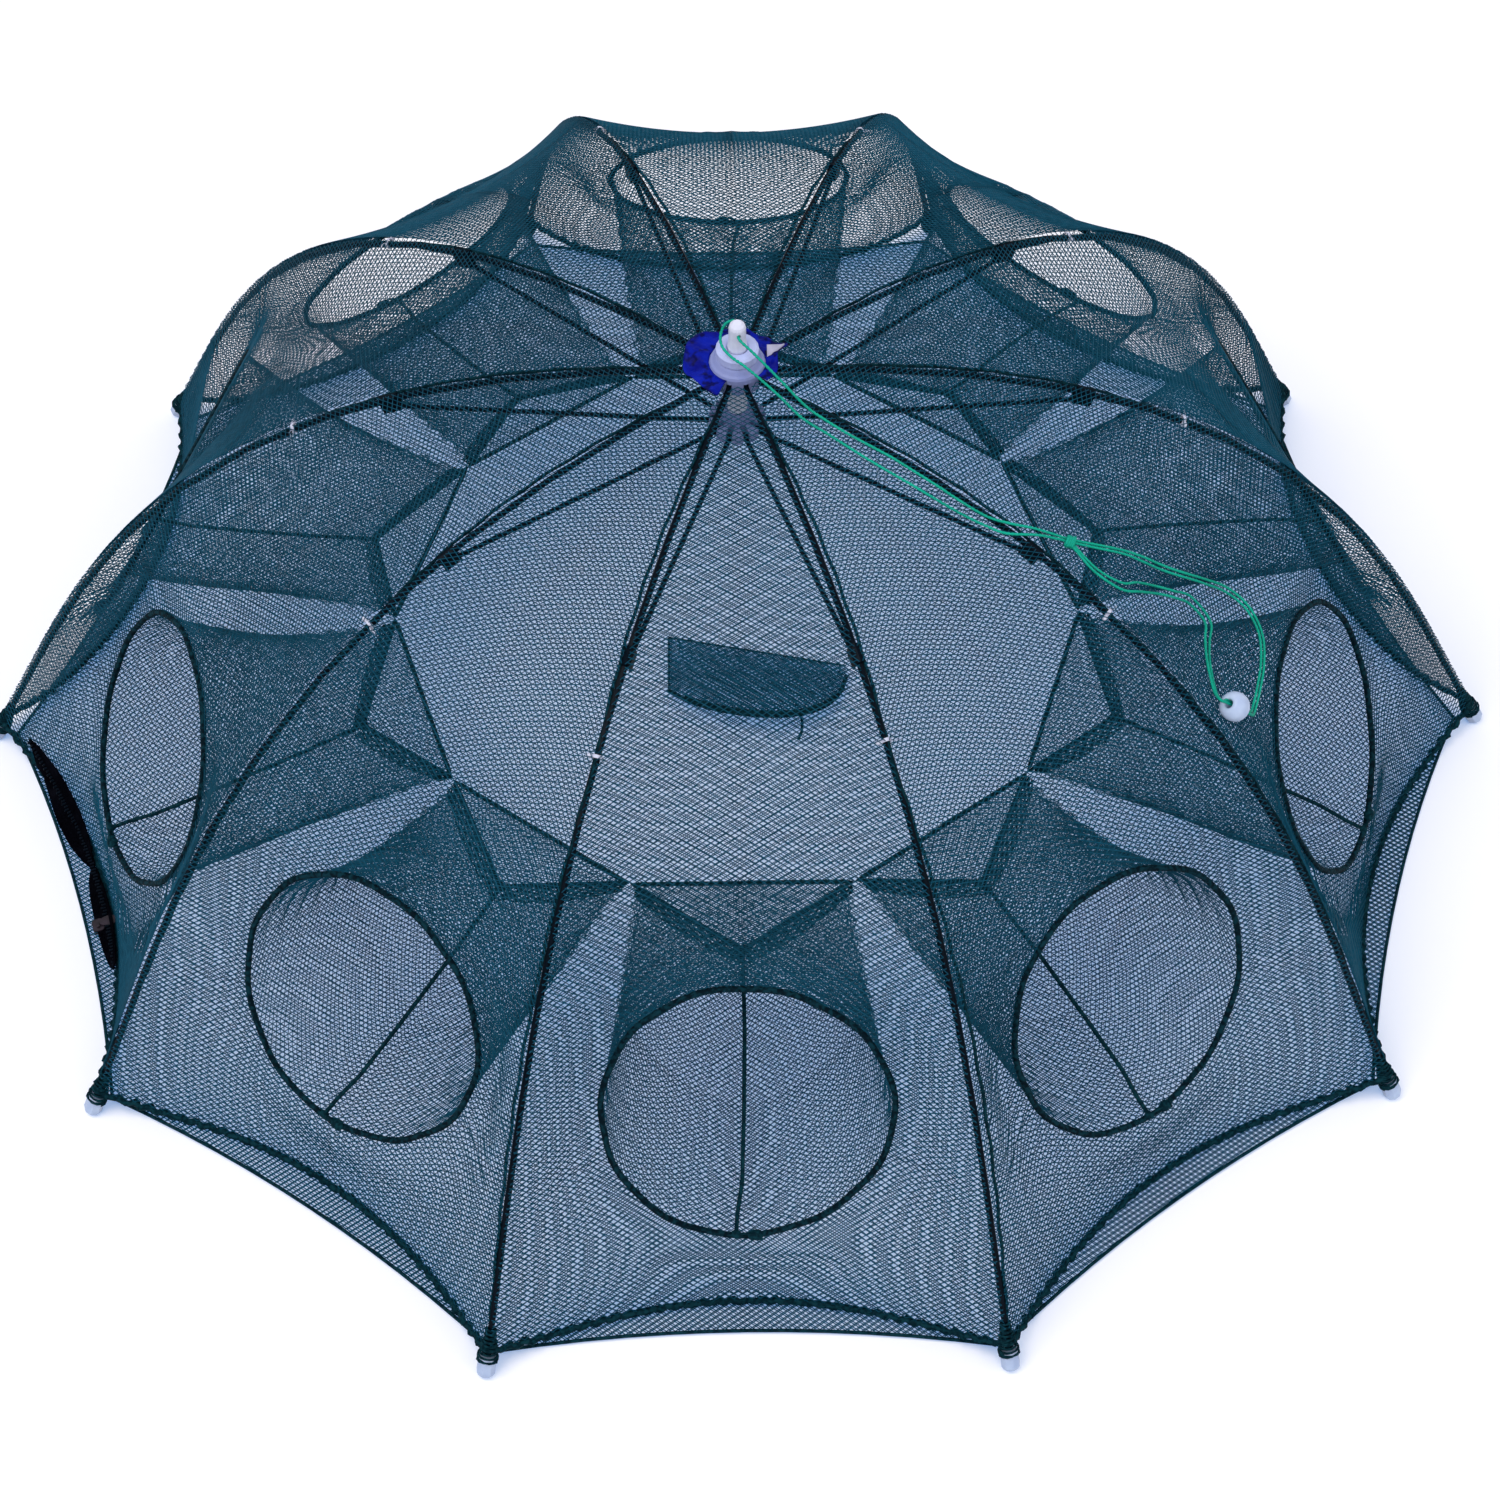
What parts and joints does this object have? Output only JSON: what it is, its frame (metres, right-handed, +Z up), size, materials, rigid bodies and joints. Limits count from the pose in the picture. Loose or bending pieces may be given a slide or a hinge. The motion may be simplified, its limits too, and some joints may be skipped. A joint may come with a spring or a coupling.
{
  "type": "folding bait trap",
  "caption": "Umbrella-framed folding net trap with funnel entrances round a floor net, a bait pocket, a zip and a pull cord on its crown.",
  "frame": {"origin": "on the ground, under the middle of the open trap's crown", "axes": "+Z up along the plunger; +X along one rib; -Y is the front, towards the camera"},
  "size_m": [0.9604, 0.9134, 0.3706],
  "materials": {
    "rib_black": "black fibreglass rod, satin",
    "moulded_white": "white moulded plastic, satin",
    "net_teal": "knotless nylon netting, dark teal",
    "disc_blue": "crumpled plastic sheet, blue",
    "zip_black": "woven tape with moulded teeth, black",
    "cord_green": "twisted twine, green"
  },
  "bodies": {
    "runner": {"runner": "moulded_white", "plunger": "moulded_white", "floor_net": "net_teal", "bait_pocket": "net_teal", "zipper": "zip_black"},
    "hub": {"crown": "moulded_white", "hub_disc": "disc_blue", "pull_cord": "cord_green", "cord_bead": "moulded_white", "gore_01": "net_teal", "gore_02": "net_teal", "gore_03": "net_teal", "gore_04": "net_teal", "gore_05": "net_teal", "gore_06": "net_teal", "gore_07": "net_teal", "gore_08": "net_teal", "gore_09": "net_teal", "gore_10": "net_teal", "entry_01": "net_teal", "entry_02": "net_teal", "entry_03": "net_teal", "entry_04": "net_teal", "entry_05": "net_teal", "entry_06": "net_teal", "entry_07": "net_teal", "entry_08": "net_teal", "entry_09": "net_teal", "entry_10": "net_teal"},
    "rib_01": {"rib_01": "rib_black", "tip_cap_01": "moulded_white"},
    "stretcher_01": {"stretcher_01": "rib_black"},
    "rib_02": {"rib_02": "rib_black", "tip_cap_02": "moulded_white"},
    "stretcher_02": {"stretcher_02": "rib_black"},
    "rib_03": {"rib_03": "rib_black", "tip_cap_03": "moulded_white"},
    "stretcher_03": {"stretcher_03": "rib_black"},
    "rib_04": {"rib_04": "rib_black", "tip_cap_04": "moulded_white"},
    "stretcher_04": {"stretcher_04": "rib_black"},
    "rib_05": {"rib_05": "rib_black", "tip_cap_05": "moulded_white"},
    "stretcher_05": {"stretcher_05": "rib_black"},
    "rib_06": {"rib_06": "rib_black", "tip_cap_06": "moulded_white"},
    "stretcher_06": {"stretcher_06": "rib_black"},
    "rib_07": {"rib_07": "rib_black", "tip_cap_07": "moulded_white"},
    "stretcher_07": {"stretcher_07": "rib_black"},
    "rib_08": {"rib_08": "rib_black", "tip_cap_08": "moulded_white"},
    "stretcher_08": {"stretcher_08": "rib_black"},
    "rib_09": {"rib_09": "rib_black", "tip_cap_09": "moulded_white"},
    "stretcher_09": {"stretcher_09": "rib_black"},
    "rib_10": {"rib_10": "rib_black", "tip_cap_10": "moulded_white"},
    "stretcher_10": {"stretcher_10": "rib_black"},
    "zip_slider": {"zip_slider": "zip_black"}
  },
  "joints": [
    {"name": "hub_slide", "type": "slide", "parent": "runner", "child": "hub", "axis": [0, 0, 1], "range_m": [0, 0.25327], "deforming": ["gore_01", "gore_02", "gore_03", "gore_04", "gore_05", "gore_06", "gore_07", "gore_08", "gore_09", "gore_10", "entry_01", "entry_02", "entry_03", "entry_04", "entry_05", "entry_06", "entry_07", "entry_08", "entry_09", "entry_10", "floor_net", "bait_pocket"]},
    {"name": "rib_fold_01", "type": "hinge", "parent": "hub", "child": "rib_01", "pos_m": [0.00402, -0.01236, 0.33309], "axis": [0.9511, 0.309, 0], "range_deg": [0, 45.01]},
    {"name": "stretcher_turn_01", "type": "hinge", "parent": "rib_01", "child": "stretcher_01", "pos_m": [0.06065, -0.18665, 0.30615], "axis": [0.9511, 0.309, 0], "range_deg": [-93.55, 0]},
    {"name": "rib_fold_02", "type": "hinge", "parent": "hub", "child": "rib_02", "pos_m": [0.01052, -0.00764, 0.33309], "axis": [0.5878, 0.809, 0], "range_deg": [0, 45.01]},
    {"name": "stretcher_turn_02", "type": "hinge", "parent": "rib_02", "child": "stretcher_02", "pos_m": [0.15878, -0.11536, 0.30615], "axis": [0.5878, 0.809, 0], "range_deg": [-93.55, 0]},
    {"name": "rib_fold_03", "type": "hinge", "parent": "hub", "child": "rib_03", "pos_m": [0.013, 0, 0.33309], "axis": [0, 1, 0], "range_deg": [0, 45.01]},
    {"name": "stretcher_turn_03", "type": "hinge", "parent": "rib_03", "child": "stretcher_03", "pos_m": [0.19626, 0, 0.30615], "axis": [0, 1, 0], "range_deg": [-93.55, 0]},
    {"name": "rib_fold_04", "type": "hinge", "parent": "hub", "child": "rib_04", "pos_m": [0.01052, 0.00764, 0.33309], "axis": [-0.5878, 0.809, 0], "range_deg": [0, 45.01]},
    {"name": "stretcher_turn_04", "type": "hinge", "parent": "rib_04", "child": "stretcher_04", "pos_m": [0.15878, 0.11536, 0.30615], "axis": [-0.5878, 0.809, 0], "range_deg": [-93.55, 0]},
    {"name": "rib_fold_05", "type": "hinge", "parent": "hub", "child": "rib_05", "pos_m": [0.00402, 0.01236, 0.33309], "axis": [-0.9511, 0.309, 0], "range_deg": [0, 45.01]},
    {"name": "stretcher_turn_05", "type": "hinge", "parent": "rib_05", "child": "stretcher_05", "pos_m": [0.06065, 0.18665, 0.30615], "axis": [-0.9511, 0.309, 0], "range_deg": [-93.55, 0]},
    {"name": "rib_fold_06", "type": "hinge", "parent": "hub", "child": "rib_06", "pos_m": [-0.00402, 0.01236, 0.33309], "axis": [-0.9511, -0.309, 0], "range_deg": [0, 45.01]},
    {"name": "stretcher_turn_06", "type": "hinge", "parent": "rib_06", "child": "stretcher_06", "pos_m": [-0.06065, 0.18665, 0.30615], "axis": [-0.9511, -0.309, 0], "range_deg": [-93.55, 0]},
    {"name": "rib_fold_07", "type": "hinge", "parent": "hub", "child": "rib_07", "pos_m": [-0.01052, 0.00764, 0.33309], "axis": [-0.5878, -0.809, 0], "range_deg": [0, 45.01]},
    {"name": "stretcher_turn_07", "type": "hinge", "parent": "rib_07", "child": "stretcher_07", "pos_m": [-0.15878, 0.11536, 0.30615], "axis": [-0.5878, -0.809, 0], "range_deg": [-93.55, 0]},
    {"name": "rib_fold_08", "type": "hinge", "parent": "hub", "child": "rib_08", "pos_m": [-0.013, 0, 0.33309], "axis": [0, -1, 0], "range_deg": [0, 45.01]},
    {"name": "stretcher_turn_08", "type": "hinge", "parent": "rib_08", "child": "stretcher_08", "pos_m": [-0.19626, 0, 0.30615], "axis": [0, -1, 0], "range_deg": [-93.55, 0]},
    {"name": "rib_fold_09", "type": "hinge", "parent": "hub", "child": "rib_09", "pos_m": [-0.01052, -0.00764, 0.33309], "axis": [0.5878, -0.809, 0], "range_deg": [0, 45.01]},
    {"name": "stretcher_turn_09", "type": "hinge", "parent": "rib_09", "child": "stretcher_09", "pos_m": [-0.15878, -0.11536, 0.30615], "axis": [0.5878, -0.809, 0], "range_deg": [-93.55, 0]},
    {"name": "rib_fold_10", "type": "hinge", "parent": "hub", "child": "rib_10", "pos_m": [-0.00402, -0.01236, 0.33309], "axis": [0.9511, -0.309, 0], "range_deg": [0, 45.01]},
    {"name": "stretcher_turn_10", "type": "hinge", "parent": "rib_10", "child": "stretcher_10", "pos_m": [-0.06065, -0.18665, 0.30615], "axis": [0.9511, -0.309, 0], "range_deg": [-93.55, 0]},
    {"name": "zip_slide", "type": "hinge", "parent": "runner", "child": "zip_slider", "pos_m": [-1.29553, -0.42094, 0], "axis": [0, 0, 1], "range_deg": [0, 7.69]}
  ],
  "couplings": [
    {"joint": "rib_fold_01", "follows": "hub_slide", "rad_per_m": 3.1011},
    {"joint": "stretcher_turn_01", "follows": "hub_slide", "rad_per_m": -6.4463},
    {"joint": "rib_fold_02", "follows": "hub_slide", "rad_per_m": 3.1011},
    {"joint": "stretcher_turn_02", "follows": "hub_slide", "rad_per_m": -6.4463},
    {"joint": "rib_fold_03", "follows": "hub_slide", "rad_per_m": 3.1011},
    {"joint": "stretcher_turn_03", "follows": "hub_slide", "rad_per_m": -6.4463},
    {"joint": "rib_fold_04", "follows": "hub_slide", "rad_per_m": 3.1011},
    {"joint": "stretcher_turn_04", "follows": "hub_slide", "rad_per_m": -6.4463},
    {"joint": "rib_fold_05", "follows": "hub_slide", "rad_per_m": 3.1011},
    {"joint": "stretcher_turn_05", "follows": "hub_slide", "rad_per_m": -6.4463},
    {"joint": "rib_fold_06", "follows": "hub_slide", "rad_per_m": 3.1011},
    {"joint": "stretcher_turn_06", "follows": "hub_slide", "rad_per_m": -6.4463},
    {"joint": "rib_fold_07", "follows": "hub_slide", "rad_per_m": 3.1011},
    {"joint": "stretcher_turn_07", "follows": "hub_slide", "rad_per_m": -6.4463},
    {"joint": "rib_fold_08", "follows": "hub_slide", "rad_per_m": 3.1011},
    {"joint": "stretcher_turn_08", "follows": "hub_slide", "rad_per_m": -6.4463},
    {"joint": "rib_fold_09", "follows": "hub_slide", "rad_per_m": 3.1011},
    {"joint": "stretcher_turn_09", "follows": "hub_slide", "rad_per_m": -6.4463},
    {"joint": "rib_fold_10", "follows": "hub_slide", "rad_per_m": 3.1011},
    {"joint": "stretcher_turn_10", "follows": "hub_slide", "rad_per_m": -6.4463}
  ]
}
